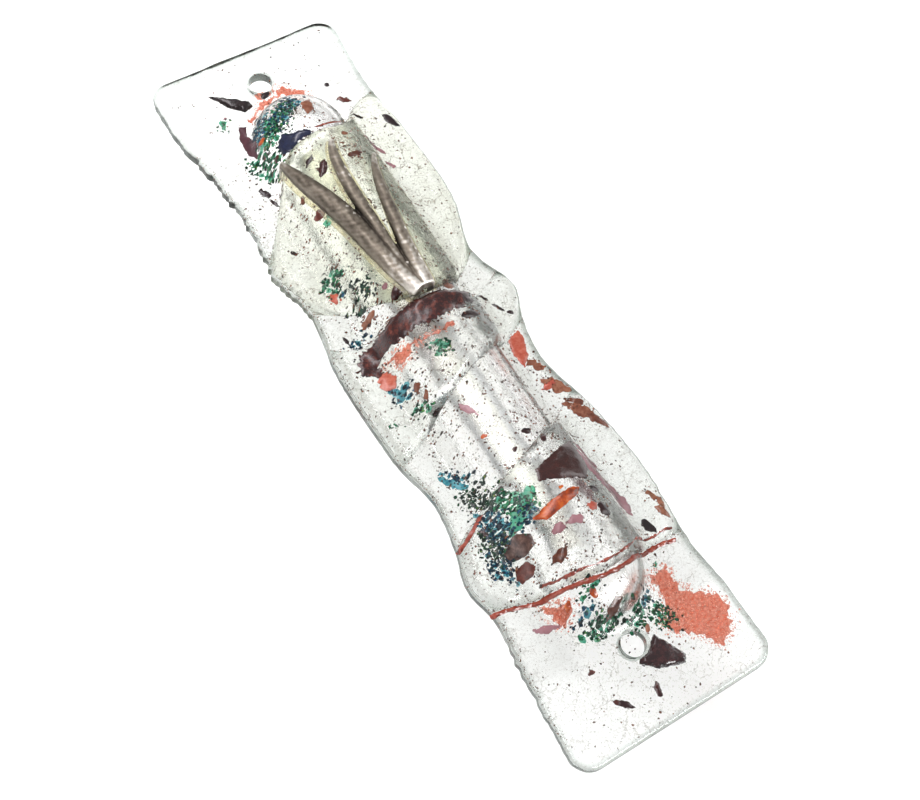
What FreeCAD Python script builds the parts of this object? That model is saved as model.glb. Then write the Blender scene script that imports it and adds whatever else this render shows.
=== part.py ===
import FreeCAD, Part
import math
import os
import random
from FreeCAD import Vector

os.makedirs("parts", exist_ok=True)

# Mezuzah case of fused art glass, lying on its open back.
# X runs across the case, Y along it towards the top end, Z out of the front.

# Plate
END_Y = 85.5                 # half of the length
CORNER = 4.5                 # plan radius of the four corners
BASE_SHEET = 3.0             # thickness of the full-size sheet
COVER_SHEET = 2.0            # thickness of each sheet fused on top of it
COVER_INSET = 0.5            # how far the covers stop short of the plate's edge
EDGE_ROUND = 0.9             # fire-polished edge of the plate
SEAM_ROUND = 0.6             # fire-polished edge of a cover

# Tunnel that holds the scroll
AXIS_Z = 2.6                 # height of the tunnel's axis above the back
CAVITY_R = 7.8
BASE_R = 10.6
COVER_R = BASE_R + COVER_SHEET
TUNNEL_LOW = -54.5           # centres of the two rounded ends
TUNNEL_HIGH = 58.0
LIP_FILLET = 3.0             # flare of the open back
FOOT_FILLET = 2.2            # where the tunnel runs out into the plate

# Mounting holes
HOLE_R = 2.5
HOLE_BEVEL = 0.3
HOLES_Y = (76.0, -69.6)

# Coloured glass: how far it is sunk into the sheets and how far it stands out
SUNK = 0.5
PROUD = 0.2
RAISED = 1.0
POWDER = 0.3

# Emblem and its glue
EMBLEM_SIDE = 0.7            # straight side below the rounded top
GLUE = 0.3
GLUE_MARGIN = 0.6

# Scroll and sleeve
SCROLL_LENGTH = 100.0
SCROLL_LOW = -48.0
SLEEVE_R = 4.0
SCROLL_Z = SLEEVE_R          # the sleeve lies on the surface behind the case
FILM = 0.15
PARCHMENT = 0.3
SPIRAL_PITCH = 0.55
SPIRAL_TURNS = 5

# Swells and waists of the two long edges, between the lower and the upper corner
LEFT_EDGE = [
    (-22.4, -81), (-21.3, -64), (-20.3, -51), (-21.5, -45), (-19.2, -36.5), (-17.9, -26.5),
    (-19.9, -17), (-20.5, -8), (-20.4, 8), (-18.5, 20.5), (-20.9, 31), (-19.8, 42),
    (-20.4, 57), (-22.6, 70), (-22.9, 81),
]
RIGHT_EDGE = [
    (22.9, -81), (22.7, -70), (21.6, -58), (22.7, -43), (21.2, -25), (18.1, -11),
    (19.6, -1), (22.3, 6), (18.8, 17), (22.2, 30), (22.4, 51), (21.0, 66), (22.2, 81),
]

# Edges of the covers, from left to right
TOP_COVER = (
    [(-26, 25), (-12, 16), (-4, 10.2), (6, 9.6), (14, 14), (26, 24.5)],
    [(-26, 31), (-18, 37.5), (-12.5, 45), (-7.5, 51), (0, 52.8), (8, 54), (13, 59.5), (26, 64)],
)
MIDDLE_COVER = (
    [(-26, -21), (-10, -13.5), (10, -5.5), (26, 1.5)],
    [(-26, 16.5), (-15, 9), (-5.6, 8.9), (3, 8.6), (9, 7.4), (14, 8), (26, 14)],
)
BOTTOM_COVER = (
    [(-26, -49.5), (-13, -53), (0, -56.6), (10, -55.6), (26, -56.2)],
    [(-26, -41), (-12, -33.4), (0, -29.5), (10, -25), (26, -15.5)],
)

# Single shards of dark glass: plan outlines
SPIKE = [(-12.0, 78.0), (-9.3, 76.2), (-4.7, 72.8), (-4.3, 71.2), (-6.7, 70.4), (-9.4, 73.3)]
TRIANGLE = [
    (4.3, -70.1), (6.1, -73.6), (7.3, -76.3), (6.4, -77.7), (1.3, -76.0), (-1.4, -73.4), (-0.9, -72.6),
]
TUNNEL_SHARD = [(9.8, -31.0), (9.4, -37.2), (7.0, -40.0), (2.5, -38.3), (-2.2, -36.0), (-1.4, -34.0)]
BAND = [
    (-17.4, 3.9), (-15.6, 6.4), (-10.8, 6.9), (-5.6, 8.2), (2.7, 8.0), (8.6, 6.6), (9.8, 3.8),
    (4.9, 2.5), (-1.6, 2.0), (-3.6, 2.8), (-7.2, 3.0), (-12.6, 3.8), (-13.1, 0.9), (-15.0, 0.8),
]
ORANGE = [(-7.1, -41.5), (-2.0, -40.6), (3.0, -40.2), (4.2, -41.0), (3.2, -42.0), (-1.0, -42.9), (-4.7, -43.4)]
NAVY_PATCH = [
    (0.4, 53.2), (-1.9, 54.6), (-5.2, 56.2), (-7.2, 55.0), (-7.4, 52.4), (-5.3, 51.6), (-2.0, 52.3),
]
HEXAGON = [(-12.9, -43.2), (-10.4, -41.6), (-8.2, -43.4), (-8.4, -45.6), (-10.8, -46.4), (-12.8, -45.0)]
PURPLE_SHARD = [(-10.6, 57.4), (-9.4, 60.4), (-9.5, 64.4), (-8.3, 67.0), (-9.8, 67.6), (-11.2, 64.6), (-11.6, 60.0)]

# Smaller chips: (x, y, length, width, direction of the length in degrees)
BLACK_CHIPS = [
    (-0.6, 72.4, 3.0, 2.0, 10), (19.6, 52.8, 5.0, 2.0, -62), (13.6, 57.2, 3.4, 0.8, -50),
    (12.8, 69.0, 1.1, 1.0, 0), (-13.0, 50.2, 3.4, 1.4, -60), (-12.3, 47.0, 3.0, 0.9, -75),
    (-15.4, 11.6, 3.2, 0.8, -80), (13.4, 6.2, 4.2, 0.7, -62), (15.2, 2.4, 3.6, 0.7, -60),
    (17.0, 0.3, 1.7, 1.1, -40), (15.1, -52.2, 4.6, 2.0, -70), (-8.6, -33.4, 2.6, 0.9, 40),
    (-11.4, 24.9, 1.6, 0.8, 60), (-15.2, 33.4, 1.9, 1.0, -50), (-9.4, -12.8, 2.2, 0.7, 10),
]
OXBLOOD_CHIPS = [
    (-8.4, 35.2, 2.9, 1.9, 25), (-3.0, 43.4, 4.4, 2.2, 50), (-4.6, 46.4, 3.4, 1.1, 30),
    (-4.4, 11.6, 2.8, 2.3, 30), (6.2, 0.6, 5.0, 2.4, 4), (6.1, -46.9, 3.4, 2.2, 80),
    (7.1, -42.3, 2.0, 1.6, 0), (-11.8, -48.6, 3.6, 3.2, 0), (2.2, -25.9, 1.9, 1.5, 0),
    (4.0, -29.0, 2.2, 1.2, 60), (-1.8, -28.0, 1.4, 1.0, 0), (-10.2, -70.2, 1.9, 0.9, 10),
    (-8.3, -78.0, 4.6, 1.2, -45), (-1.2, -79.0, 3.0, 1.4, 75), (-13.7, -37.6, 3.2, 1.1, -65),
    (14.1, 63.8, 3.6, 1.3, -40), (-9.4, 56.0, 2.0, 1.2, -50), (-8.6, 53.0, 2.1, 1.2, 70),
]
BROWN_CHIPS = [
    (7.0, 9.4, 3.3, 2.2, 0), (-10.2, 12.2, 3.0, 1.9, 10), (-1.6, -62.9, 5.4, 1.9, 28),
    (4.6, 43.6, 3.8, 1.5, 0), (5.6, 49.2, 1.9, 1.0, 0), (-10.4, -6.6, 2.0, 1.5, 70),
    (-9.8, -9.2, 2.1, 1.0, 70), (2.4, 59.6, 4.4, 2.6, 65), (-6.2, -50.2, 3.8, 2.6, 20),
    (19.3, -51.0, 4.2, 1.5, -66), (18.9, -28.2, 6.4, 1.9, -62), (17.4, -22.6, 4.6, 1.7, -60),
    (-9.4, 40.4, 1.8, 1.0, 60), (3.9, -68.4, 2.1, 1.3, 70),
]
MAUVE_STREAKS = [
    (12.2, 48.6, 7.0, 1.5, -60), (13.6, 42.6, 2.8, 1.0, -52), (-4.8, -16.5, 5.0, 1.1, -64),
    (-0.6, -46.1, 4.2, 2.0, -20), (-3.9, -45.9, 3.4, 2.3, -10), (12.2, -44.5, 10.5, 1.8, -72),
    (11.6, -34.5, 7.0, 1.6, -68), (-11.3, 71.0, 1.1, 1.0, 0), (-5.8, 13.8, 1.5, 0.9, 20),
    (-13.2, -58.8, 5.6, 1.8, -18),
]
ORANGE_CHIPS = [
    (-8.8, 58.9, 1.6, 1.4, 0), (-5.2, -22.5, 1.3, 1.1, 0), (-4.0, -58.9, 2.4, 1.4, -75),
    (-8.6, -58.2, 2.0, 1.2, 60), (0.8, -39.4, 1.3, 1.0, 0),
]
CORAL_CHIPS = [
    (-13.6, 20.4, 3.2, 2.0, -70), (15.6, -16.6, 3.4, 2.0, 30), (4.3, -45.4, 2.4, 2.0, 0),
    (-13.6, -1.2, 4.8, 3.4, -75),
]

# Patches of coral powder and sheet glass: plan outlines of smooth blobs
CORAL_TOP = [(-7.6, 67.4), (-4.4, 70.7), (-1.0, 73.4), (3.2, 73.6), (7.0, 71.0), (8.8, 66.6), (4.6, 68.6), (-1.0, 69.4)]
CORAL_LOW = [
    (8.6, -61.2), (12.0, -59.8), (15.2, -60.2), (14.6, -63.4), (16.4, -66.6), (19.8, -69.4), (20.6, -73.2),
    (18.2, -77.2), (14.2, -79.2), (11.8, -75.8), (8.4, -72.6), (6.0, -69.6), (8.4, -66.6), (9.4, -64.0),
]
CORAL_LEFT_FOOT = [(-11.8, -55.0), (-9.0, -56.0), (-7.4, -58.8), (-9.4, -61.0), (-11.6, -58.6)]
CORAL_STRIP = [(16.8, -3.2), (13.9, -3.8), (12.8, -7.4), (13.3, -11.2), (15.6, -9.0), (16.9, -5.6)]
CORAL_UNDER_BAND = [(-11.6, 2.6), (-6.0, 1.4), (-1.0, 0.4), (2.2, 0.2), (-1.4, -0.8), (-6.6, -0.6), (-11.2, -1.4)]

# Threads of glass along the seams
DIAGONAL_THREAD = [(-19.6, -38.0), (-16.0, -36.4), (-12.2, -34.0)]
EMBLEM_THREAD = [(1.2, 53.9), (4.4, 54.1), (7.8, 54.6)]
LOWER_THREAD = [(-20.6, -51.6), (-13.0, -53.6), (-6.5, -55.8), (0.0, -57.4), (5.2, -57.2), (10.0, -56.4), (19.0, -56.9)]

# Frit: ellipses filled with grains (x, y, half length, half width, direction in degrees)
GREEN_FRIT = [
    (-5.2, 59.2, 6.0, 2.4, 35), (-10.2, 54.6, 4.6, 1.5, -65), (-12.2, 22.9, 2.0, 1.5, 30),
    (-7.6, -36.6, 3.6, 1.5, -45), (-4.4, -64.0, 4.2, 1.3, 0), (3.4, -65.6, 3.0, 1.3, 10),
    (7.4, -67.6, 2.6, 1.5, -60), (-16.8, -9.9, 1.1, 0.9, 0), (-11.4, -10.6, 1.8, 0.8, -60),
    (12.6, -58.8, 0.9, 0.8, 0), (-12.7, 69.0, 1.2, 1.0, 80), (-2.8, -3.5, 2.0, 1.3, -70),
    (-6.9, 32.7, 2.1, 1.2, 0), (-3.6, -57.8, 3.0, 0.9, 15),
]
BLUE_FRIT = [
    (-2.6, 60.8, 4.6, 2.2, 30), (-7.2, 61.6, 3.6, 1.5, 45), (-13.6, 10.0, 1.4, 1.1, 0),
    (-12.6, -5.4, 2.4, 1.3, -60), (-11.9, -24.6, 2.8, 1.0, -48), (-11.9, -38.4, 5.0, 1.6, -82),
    (-14.6, -45.4, 4.2, 1.5, -75), (-6.4, -61.0, 2.4, 1.1, 20), (6.6, -63.6, 2.2, 0.9, 40),
    (-11.9, 19.4, 1.0, 0.9, 0), (-7.2, -39.6, 3.2, 1.5, -60),
]
DARK_FRIT = [
    (-10.6, -31.6, 4.0, 1.9, -60), (-13.4, -41.6, 4.6, 1.5, -80), (-5.4, 55.9, 1.6, 1.0, 30),
    (8.4, -68.8, 2.2, 1.2, -50), (-9.2, 16.6, 3.0, 1.2, -60),
]


def curve(points):
    spline = Part.BSplineCurve()
    spline.interpolate([Vector(x, y, 0) for x, y in points])
    return spline.toShape()


def long_edge(points, inset):
    """Wavy long edge of the plate, upright where it meets the corners."""
    side = math.copysign(1.0, points[0][0])
    moved = [Vector(x - side * inset, y, 0) for x, y in points]
    spline = Part.BSplineCurve()
    spline.interpolate(Points=moved, InitialTangent=Vector(0, 1, 0), FinalTangent=Vector(0, 1, 0))
    return spline.toShape()


def outline(inset=0.0):
    """Plan of the plate: two wavy long edges, two straight ends and four round corners."""
    left = long_edge(LEFT_EDGE, inset)
    right = long_edge(RIGHT_EDGE, inset)
    reach = CORNER * (1 - math.sqrt(0.5))
    edges = [left, right]
    for end, index in ((-END_Y, 0), (END_Y, -1)):
        stops = []
        for edge, side in ((left, -1), (right, 1)):
            start = edge.Vertexes[index].Point
            middle = Vector(start.x - side * reach, end - math.copysign(reach, end), 0)
            stop = Vector(start.x - side * CORNER, end, 0)
            edges.append(Part.Arc(start, middle, stop).toShape())
            stops.append(stop)
        edges.append(Part.makeLine(stops[0], stops[1]))
    return edges


def prism(edges, low=-10.0, high=40.0):
    face = Part.Face(Part.Wire(Part.__sortEdges__(edges)))
    face.translate(Vector(0, 0, low))
    return face.extrude(Vector(0, 0, high - low))


def section(radius, flange, fillet, reach=50.0, floor=-10.0):
    """Right half of the cross-section: plate, hollow fillet and half of the round tunnel."""
    rise = flange + fillet - AXIS_Z
    run = math.sqrt((radius + fillet) ** 2 - rise ** 2)
    share = radius / (radius + fillet)
    centre = Vector(run, 0, flange + fillet)
    foot = Vector(run, 0, flange)
    meet = Vector(run * share, 0, AXIS_Z + rise * share)
    toward = (foot + meet) * 0.5 - centre
    hollow = centre + toward * (fillet / toward.Length)
    apex = Vector(0, 0, AXIS_Z + radius)
    angle = (math.atan2(meet.z - AXIS_Z, meet.x) + math.pi / 2) / 2
    crown = Vector(radius * math.cos(angle), 0, AXIS_Z + radius * math.sin(angle))
    rim = Vector(reach, 0, flange)
    low_rim = Vector(reach, 0, floor)
    low = Vector(0, 0, floor)
    edges = [
        Part.makeLine(low, low_rim),
        Part.makeLine(low_rim, rim),
        Part.makeLine(rim, foot),
        Part.Arc(foot, hollow, meet).toShape(),
        Part.Arc(meet, crown, apex).toShape(),
        Part.makeLine(apex, low),
    ]
    return Part.Face(Part.Wire(edges))


def skin(radius, flange, fillet):
    """Everything below one surface of the glass: plate, tunnel and its two round ends."""
    up = Vector(0, 0, 1)
    run = Vector(0, TUNNEL_HIGH - TUNNEL_LOW, 0)
    half = section(radius, flange, fillet)
    half.translate(Vector(0, TUNNEL_LOW, 0))
    other = half.mirror(Vector(0, 0, 0), Vector(1, 0, 0))
    lower = half.revolve(Vector(0, TUNNEL_LOW, 0), up, -180)
    upper = half.translated(run).revolve(Vector(0, TUNNEL_HIGH, 0), up, 180)
    straight = half.extrude(run)
    return straight.multiFuse([other.extrude(run), lower, upper]).removeSplitter()


def rim_edges(block, height):
    """Edges where the upright side faces of a block meet its top."""
    found = []
    for face in block.Faces:
        u0, u1, v0, v1 = face.ParameterRange
        if abs(face.normalAt((u0 + u1) / 2, (v0 + v1) / 2).z) > 0.02:
            continue
        for edge in face.Edges:
            box = edge.BoundBox
            if box.ZMin > height - 0.01 and box.ZLength < 0.9 * edge.Length:
                found.append(edge)
    return found


def hole(y):
    """Drilled hole with both rims bevelled."""
    top = BASE_SHEET
    wide = HOLE_R + HOLE_BEVEL
    centre = Vector(0, y, 0)
    up = Vector(0, 0, 1)
    drill = Part.makeCylinder(HOLE_R, top, centre, up)
    upper = Part.makeCone(HOLE_R, wide, HOLE_BEVEL, centre + up * (top - HOLE_BEVEL), up)
    lower = Part.makeCone(wide, HOLE_R, HOLE_BEVEL, centre, up)
    return drill.multiFuse([upper, lower])


def base_block(plate, base_skin):
    """The full-size sheet as if the tunnel were solid, with its outer edge melted round."""
    below = Part.makeBox(200, 200, 20, Vector(-100, -100, -20))
    block = plate.common(base_skin).cut(below)
    return block.makeFillet(EDGE_ROUND, rim_edges(block, BASE_SHEET))


def cover_block(edges, plate, top_skin):
    """One cover as if the glass below it were part of it, with its edges melted round."""
    low, high = edges
    ends = [Part.makeLine(Vector(*low[i], 0), Vector(*high[i], 0)) for i in (0, -1)]
    band = prism([curve(low), curve(high)] + ends)
    block = band.common(plate).common(top_skin)
    return block.makeFillet(SEAM_ROUND, rim_edges(block, BASE_SHEET + COVER_SHEET))


def polygon(points):
    corners = [Vector(x, y, 0) for x, y in points]
    return prism(Part.makePolygon(corners + corners[:1]).Edges)


def blob(points):
    spline = Part.BSplineCurve()
    spline.interpolate(Points=[Vector(x, y, 0) for x, y in points], PeriodicFlag=True)
    return prism([spline.toShape()])


def chip(x, y, length, width, degrees, rng):
    """Broken splinter: an ellipse with a few uneven corners."""
    count = 6
    turn = math.radians(degrees)
    points = []
    for step in range(count):
        angle = 2 * math.pi * (step + rng.uniform(-0.3, 0.3)) / count
        reach = rng.uniform(0.85, 1.1)
        along = 0.5 * length * reach * math.cos(angle)
        across = 0.5 * width * reach * math.sin(angle)
        points.append((x + along * math.cos(turn) - across * math.sin(turn),
                       y + along * math.sin(turn) + across * math.cos(turn)))
    return polygon(points)


def chips(rows, seed):
    rng = random.Random(seed)
    return Part.makeCompound([chip(*row, rng) for row in rows])


def frit(regions, spacing, seed):
    """Grains of crushed glass on a shaken grid, filling each of the elliptical regions."""
    rng = random.Random(seed)
    grains = []
    for x0, y0, long_half, short_half, degrees in regions:
        turn = math.radians(degrees)
        columns = math.ceil(long_half / spacing)
        rows = math.ceil(short_half / spacing)
        for column in range(-columns, columns + 1):
            for row in range(-rows, rows + 1):
                along = (column + rng.uniform(-0.12, 0.12)) * spacing
                across = (row + rng.uniform(-0.12, 0.12)) * spacing
                size = spacing * rng.uniform(0.5, 0.72)
                if (along / long_half) ** 2 + (across / short_half) ** 2 > 1.1:
                    continue
                x = x0 + along * math.cos(turn) - across * math.sin(turn)
                y = y0 + along * math.sin(turn) + across * math.cos(turn)
                grains.append(chip(x, y, size * 1.15, size, rng.uniform(0, 180), rng))
    return Part.makeCompound(grains)


def thread(points, width=0.5):
    """Plan of a thin glass thread laid along a curve."""
    spline = Part.BSplineCurve()
    spline.interpolate([Vector(x, y, 0) for x, y in points])
    count = 2 * len(points)
    first, last = spline.FirstParameter, spline.LastParameter
    sides = ([], [])
    for step in range(count + 1):
        at = first + (last - first) * step / count
        tangent = spline.tangent(at)[0]
        across = Vector(-tangent.y, tangent.x, 0) * (0.5 * width)
        for side, sign in zip(sides, (1, -1)):
            point = spline.value(at) + across * sign
            side.append((point.x, point.y))
    ends = [Part.makeLine(Vector(*sides[0][i], 0), Vector(*sides[1][i], 0)) for i in (0, -1)]
    return prism([curve(sides[0]), curve(sides[1])] + ends)


def without_splinters(shape):
    """The shape less the scraps, too small to see, that are left between close cuts."""
    return Part.makeCompound([solid for solid in shape.Solids if solid.Volume > 0.05])


def inlay(plan, glass, sunk, proud):
    """The part of an upright plan that lies in a layer at the surface of the glass."""
    raised = glass.translated(Vector(0, 0, proud))
    lowered = glass.translated(Vector(0, 0, -sunk))
    return plan.common(raised).cut(lowered)


def surface_z(x, y):
    """Height of the top of the covers above the tunnel's axis."""
    past = max(TUNNEL_LOW - y, 0, y - TUNNEL_HIGH)
    distance = math.hypot(x, past)
    return AXIS_Z + math.sqrt(COVER_R ** 2 - distance ** 2)


# Prongs of the emblem from tip to foot: (x, y, half width)
LEFT_PRONG = [
    (-9.2, 50.0, 0.55), (-7.7, 43.5, 1.5), (-6.3, 38.0, 1.9), (-5.0, 32.5, 2.1),
    (-3.5, 23.0, 2.1), (-2.2, 14.5, 1.9), (-0.6, 9.0, 1.8),
]
MIDDLE_PRONG = [
    (1.5, 48.0, 0.5), (0.0, 43.7, 1.1), (-0.6, 39.0, 1.3), (-0.9, 33.5, 1.4),
    (-0.9, 27.0, 1.35), (-1.0, 20.0, 1.3), (-0.6, 12.0, 1.3),
]
RIGHT_PRONG = [
    (9.0, 43.2, 0.45), (6.2, 37.6, 1.0), (4.6, 32.0, 1.3), (3.4, 25.8, 1.5),
    (2.3, 20.0, 1.6), (1.5, 14.2, 1.8), (0.9, 9.0, 1.8),
]


def prong(stations, margin=0.0, height=1.0):
    """Tapered bar with straight sides and a half-round top that follows a bent line."""
    wires = []
    for index, (x, y, half) in enumerate(stations):
        before = stations[max(index - 1, 0)]
        after = stations[min(index + 1, len(stations) - 1)]
        along = Vector(after[0] - before[0], after[1] - before[1], 0).normalize()
        across = Vector(along.y, -along.x, 0)
        half = half + margin
        seat = Vector(x, y, surface_z(x, y))
        deep = Vector(0, 0, -5.0)
        side = Vector(0, 0, EMBLEM_SIDE * height)
        crown = Vector(0, 0, (EMBLEM_SIDE + 0.9 * half) * height)
        left, right = seat - across * half, seat + across * half
        wires.append(Part.Wire([
            Part.makeLine(left + deep, left + side),
            Part.Arc(left + side, seat + crown, right + side).toShape(),
            Part.makeLine(right + side, right + deep),
            Part.makeLine(right + deep, left + deep),
        ]))
    return Part.makeLoft(wires, True, False)


def emblem(glass):
    bars = [prong(stations) for stations in (LEFT_PRONG, MIDDLE_PRONG, RIGHT_PRONG)]
    body = bars[0].multiFuse(bars[1:])
    return body.cut(glass.translated(Vector(0, 0, GLUE)))


def glue_bed(surface, cast):
    """Thin bed of glue under the emblem that has crept out a little all round."""
    bars = [prong(stations, GLUE_MARGIN, 0.2) for stations in (LEFT_PRONG, MIDDLE_PRONG, RIGHT_PRONG)]
    return inlay(bars[0].multiFuse(bars[1:]), surface, 0.0, GLUE).cut(cast)


def spiral(offset):
    """Points of the rolled sheet's spiral, from the core to the outer end."""
    inner = SLEEVE_R - FILM - 0.02 - PARCHMENT - SPIRAL_PITCH * SPIRAL_TURNS
    points = []
    for step in range(16 * SPIRAL_TURNS + 1):
        turns = step / 16
        radius = inner + SPIRAL_PITCH * turns + offset
        angle = 2 * math.pi * turns
        points.append(Vector(radius * math.cos(angle), SCROLL_LOW, SCROLL_Z + radius * math.sin(angle)))
    return points


def scroll():
    """Parchment strip rolled up along its length."""
    sides = []
    for offset in (0.0, PARCHMENT):
        spline = Part.BSplineCurve()
        spline.interpolate(spiral(offset))
        sides.append(spline)
    ends = [Part.makeLine(sides[0].StartPoint, sides[1].StartPoint),
            Part.makeLine(sides[0].EndPoint, sides[1].EndPoint)]
    wire = Part.Wire(Part.__sortEdges__([side.toShape() for side in sides] + ends))
    return Part.Face(wire).extrude(Vector(0, SCROLL_LENGTH, 0))


def sleeve():
    """Clear film tube around the scroll, a little longer than it at both ends."""
    spare = 1.5
    start = Vector(0, SCROLL_LOW - spare, SCROLL_Z)
    length = SCROLL_LENGTH + 2 * spare
    along = Vector(0, 1, 0)
    outer = Part.makeCylinder(SLEEVE_R, length, start, along)
    inner = Part.makeCylinder(SLEEVE_R - FILM, length, start, along)
    return outer.cut(inner)


def coloured_glass(glass):
    """Every piece of coloured glass, each cut clear of the ones laid before it."""
    plans = [
        ("spike_shard", polygon(SPIKE), RAISED),
        ("triangle_shard", polygon(TRIANGLE), RAISED),
        ("tunnel_shard", polygon(TUNNEL_SHARD), PROUD),
        ("oxblood_band", polygon(BAND), PROUD),
        ("orange_shard", polygon(ORANGE), PROUD),
        ("navy_patch", polygon(NAVY_PATCH), PROUD),
        ("oxblood_hexagon", polygon(HEXAGON), PROUD),
        ("purple_shard", polygon(PURPLE_SHARD), PROUD),
        ("black_chips", chips(BLACK_CHIPS, 3), PROUD),
        ("oxblood_chips", chips(OXBLOOD_CHIPS, 5), PROUD),
        ("brown_chips", chips(BROWN_CHIPS, 7), PROUD),
        ("mauve_streaks", chips(MAUVE_STREAKS, 9), PROUD),
        ("orange_chips", chips(ORANGE_CHIPS, 11), PROUD),
        ("coral_chips", chips(CORAL_CHIPS, 13), PROUD),
        ("diagonal_thread", thread(DIAGONAL_THREAD, 0.9), PROUD),
        ("emblem_thread", thread(EMBLEM_THREAD, 0.4), PROUD),
        ("lower_seam_thread", thread(LOWER_THREAD, 0.9), PROUD),
        ("green_frit", frit(GREEN_FRIT, 1.25, 21), PROUD),
        ("blue_frit", frit(BLUE_FRIT, 1.3, 22), PROUD),
        ("dark_frit", frit(DARK_FRIT, 1.2, 23), PROUD),
        ("coral_strip", polygon(CORAL_STRIP), PROUD),
        ("coral_powder_top", blob(CORAL_TOP), POWDER),
        ("coral_powder_low", blob(CORAL_LOW), POWDER),
        ("coral_powder_foot", blob(CORAL_LEFT_FOOT), POWDER),
        ("coral_powder_band", blob(CORAL_UNDER_BAND), POWDER),
    ]
    holes = Part.makeCompound([Part.makeCylinder(HOLE_R + 0.5, 50, Vector(0, y, -10)) for y in HOLES_Y])
    laid = holes
    result = {}
    for name, plan, proud in plans:
        clear = plan.cut(laid)
        laid = Part.makeCompound([laid, clear])
        result[name] = without_splinters(inlay(clear, glass, SUNK, proud))
    return result


def main():
    plate = prism(outline())
    back_skin = skin(CAVITY_R, 0.0, LIP_FILLET)
    base_skin = skin(BASE_R, BASE_SHEET, FOOT_FILLET)
    top_skin = skin(COVER_R, BASE_SHEET + COVER_SHEET, FOOT_FILLET)
    base = base_block(plate, base_skin)
    inner_plate = prism(outline(COVER_INSET))
    covers = {
        "cover_glass_top": cover_block(TOP_COVER, inner_plate, top_skin),
        "cover_glass_middle": cover_block(MIDDLE_COVER, inner_plate, top_skin),
        "cover_glass_bottom": cover_block(BOTTOM_COVER, inner_plate, top_skin),
    }
    glass = base_skin.multiFuse(list(covers.values()))
    colours = coloured_glass(glass)
    laid = Part.makeCompound([solid for shape in colours.values() for solid in shape.Solids])

    parts = dict(colours)
    for name, block in covers.items():
        parts[name] = without_splinters(block.cut(base_skin).cut(laid))
    drilled = base.cut(back_skin).cut(Part.makeCompound([hole(y) for y in HOLES_Y]))
    parts["base_glass"] = drilled.cut(laid)
    cast = emblem(glass)
    parts["shin_emblem"] = cast
    parts["emblem_adhesive"] = without_splinters(glue_bed(glass.fuse(laid), cast))
    parts["parchment_scroll"] = scroll()
    parts["scroll_sleeve"] = sleeve()

    for name, shape in parts.items():
        shape.exportStep(f"parts/{name}.step")
        print(name, len(shape.Solids), round(shape.Volume, 2), shape.isValid())


main()
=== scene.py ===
import math

import bmesh
import bpy
import numpy as np
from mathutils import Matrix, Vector
from mathutils.geometry import delaunay_2d_cdt


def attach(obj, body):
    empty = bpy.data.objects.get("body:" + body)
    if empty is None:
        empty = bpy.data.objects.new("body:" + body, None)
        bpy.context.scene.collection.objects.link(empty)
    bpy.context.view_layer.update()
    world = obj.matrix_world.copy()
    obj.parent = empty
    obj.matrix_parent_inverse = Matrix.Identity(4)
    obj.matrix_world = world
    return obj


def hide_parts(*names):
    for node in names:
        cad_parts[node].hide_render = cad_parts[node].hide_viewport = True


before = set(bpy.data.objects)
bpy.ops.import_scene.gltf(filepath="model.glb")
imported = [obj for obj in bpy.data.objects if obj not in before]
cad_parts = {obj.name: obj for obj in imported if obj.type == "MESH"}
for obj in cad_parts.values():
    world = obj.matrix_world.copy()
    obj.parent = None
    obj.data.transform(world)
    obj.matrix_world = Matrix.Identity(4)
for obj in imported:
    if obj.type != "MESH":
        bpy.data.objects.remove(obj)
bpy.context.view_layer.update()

# Mezuzah case of fused art glass. X runs across it, Y along it, Z out of the front.
# Shapes are worked out in millimetres and made in metres.
MM = 0.001

# Plate and covers
END_Y = 85.5
CORNER = 4.5
BASE_SHEET = 3.0
COVER_SHEET = 2.0
COVER_INSET = 0.5
EDGE_ROUND = 1.0             # worn top edge of the plate
BACK_ROUND = 0.5             # worn back edge of the plate
COVER_ROUND = 2.3            # a cover's edge has melted to a full round
COVER_CORNER = 4.0           # plan radius where a cover's edge meets its side
COVER_PALER = 0.7            # a cover's edge takes the painted edge shade that the plate has this far in

# Tunnel
AXIS_Z = 2.6
CAVITY_R = 7.8
BASE_R = 10.6
TUNNEL_LOW = -54.5
TUNNEL_HIGH = 58.0
FOOT_FILLET = 3.2
LIP_FILLET = 5.0

# Mounting holes
HOLE_R = 2.5
HOLE_BEVEL = 0.45
HOLES_Y = (76.0, -69.6)

# Emblem
EMBLEM_TOP = 50.0            # y near its tips; its paler foot is in the lower half of that
EMBLEM_VOXEL = 0.2

# How finely the sheets are divided
CROWN = 7.0                  # half width of the tunnel's top
STRIP = 14.0                 # half width of the finest strip, out past the tunnel's foot
FLANGE = 6.0                 # rough width of the flange beyond that strip
GRID = 0.55
PLATE_RIM = (0.0, 0.06, 0.2, 0.45, 0.8, 1.2)
COVER_RIM = (0.0, 0.04, 0.15, 0.4, 0.8, 1.4, 2.1)

# Tone of the glass, which is palest at the plate's ends and over the tunnel, where the paleness is
# painted light for the light that comes through the hollow
HALF_WIDTH = 25.0            # just over half the plate's width
TUNNEL_LIGHT = (0.34, 0.5)    # shares of the half width between which the tunnel's painted light fades out
END_TONE = (0.09, 0.12, 0.90, 0.93)      # shares of the length where the ends' tone stops and starts

# Studio
FLOOR_BELOW = 34.0           # the floor is clear of the scroll when that is drawn out of the back
FLOOR_SIZE = 3.0             # in metres, as are the camera's place and the lamps
CAMERA_AT = (-0.08828, -0.09710, 0.25575)
CAMERA_TURN = (25.05, -6.19, -31.96)
CAMERA_LENS = 54.83

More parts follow.
